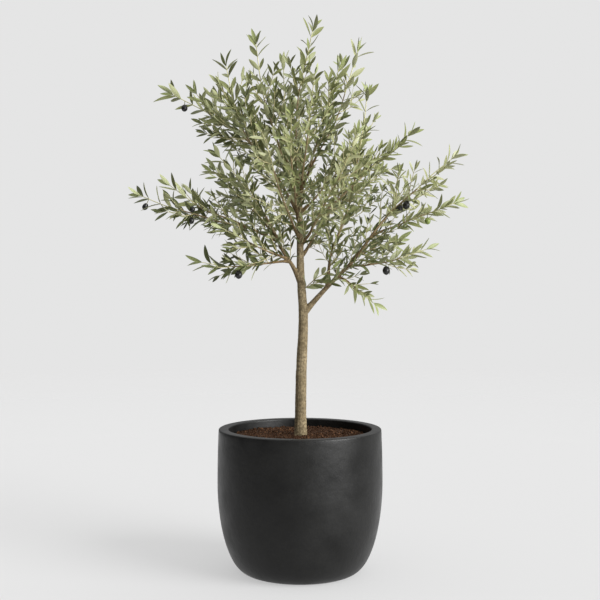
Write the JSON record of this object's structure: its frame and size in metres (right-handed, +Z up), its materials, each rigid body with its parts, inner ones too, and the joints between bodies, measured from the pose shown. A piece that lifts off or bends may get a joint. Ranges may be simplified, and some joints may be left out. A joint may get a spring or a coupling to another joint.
{
  "type": "potted olive tree",
  "caption": "Young standard olive tree with an open leafy crown and a few dark olives, planted in a rounded matte charcoal planter.",
  "frame": {"origin": "centre of the planter's flat underside", "axes": "+Z up along the planter's axis, -Y towards the front, +X to the right seen from the front"},
  "size_m": [0.8139, 0.6504, 1.337],
  "materials": {
    "planter": "matte charcoal, finely mottled",
    "soil": "loose, damp, granular",
    "bark": "grey-brown bark",
    "foliage": "grey-green leaves on thin twigs"
  },
  "bodies": {
    "root": {"planter": "planter", "soil": "soil", "trunk": "bark", "back_bough": "bark", "back_high_bough": "bark", "back_right_bough": "bark", "centre_leader": "bark", "front_bough": "bark", "front_high_bough": "bark", "front_left_bough": "bark", "front_right_bough": "bark", "inner_right_bough": "bark", "left_arm": "bark", "left_arm_fork": "bark", "left_back_bough": "bark", "left_bough": "bark", "left_inner_bough": "bark", "left_leader": "bark", "left_leader_fork": "bark", "left_low_bough": "bark", "right_bough": "bark", "right_drooping_bough": "bark", "right_high_bough": "bark", "right_leader": "bark", "right_leader_fork": "bark", "right_low_bough": "bark", "right_middle_bough": "bark", "upper_left_bough": "bark", "upper_left_fork": "bark", "upper_right_bough": "bark", "back_foliage": "foliage", "back_high_foliage": "foliage", "back_right_foliage": "foliage", "centre_leader_foliage": "foliage", "front_foliage": "foliage", "front_high_foliage": "foliage", "front_left_foliage": "foliage", "front_right_foliage": "foliage", "inner_right_foliage": "foliage", "left_arm_foliage": "foliage", "left_arm_fork_foliage": "foliage", "left_back_foliage": "foliage", "left_foliage": "foliage", "left_inner_foliage": "foliage", "left_leader_foliage": "foliage", "left_leader_fork_foliage": "foliage", "left_low_foliage": "foliage", "right_drooping_foliage": "foliage", "right_foliage": "foliage", "right_high_foliage": "foliage", "right_leader_foliage": "foliage", "right_leader_fork_foliage": "foliage", "right_low_foliage": "foliage", "right_middle_foliage": "foliage", "right_sprig_foliage": "foliage", "trunk_sprig_foliage": "foliage", "upper_left_foliage": "foliage", "upper_left_fork_foliage": "foliage", "upper_right_foliage": "foliage"}
  },
  "joints": []
}
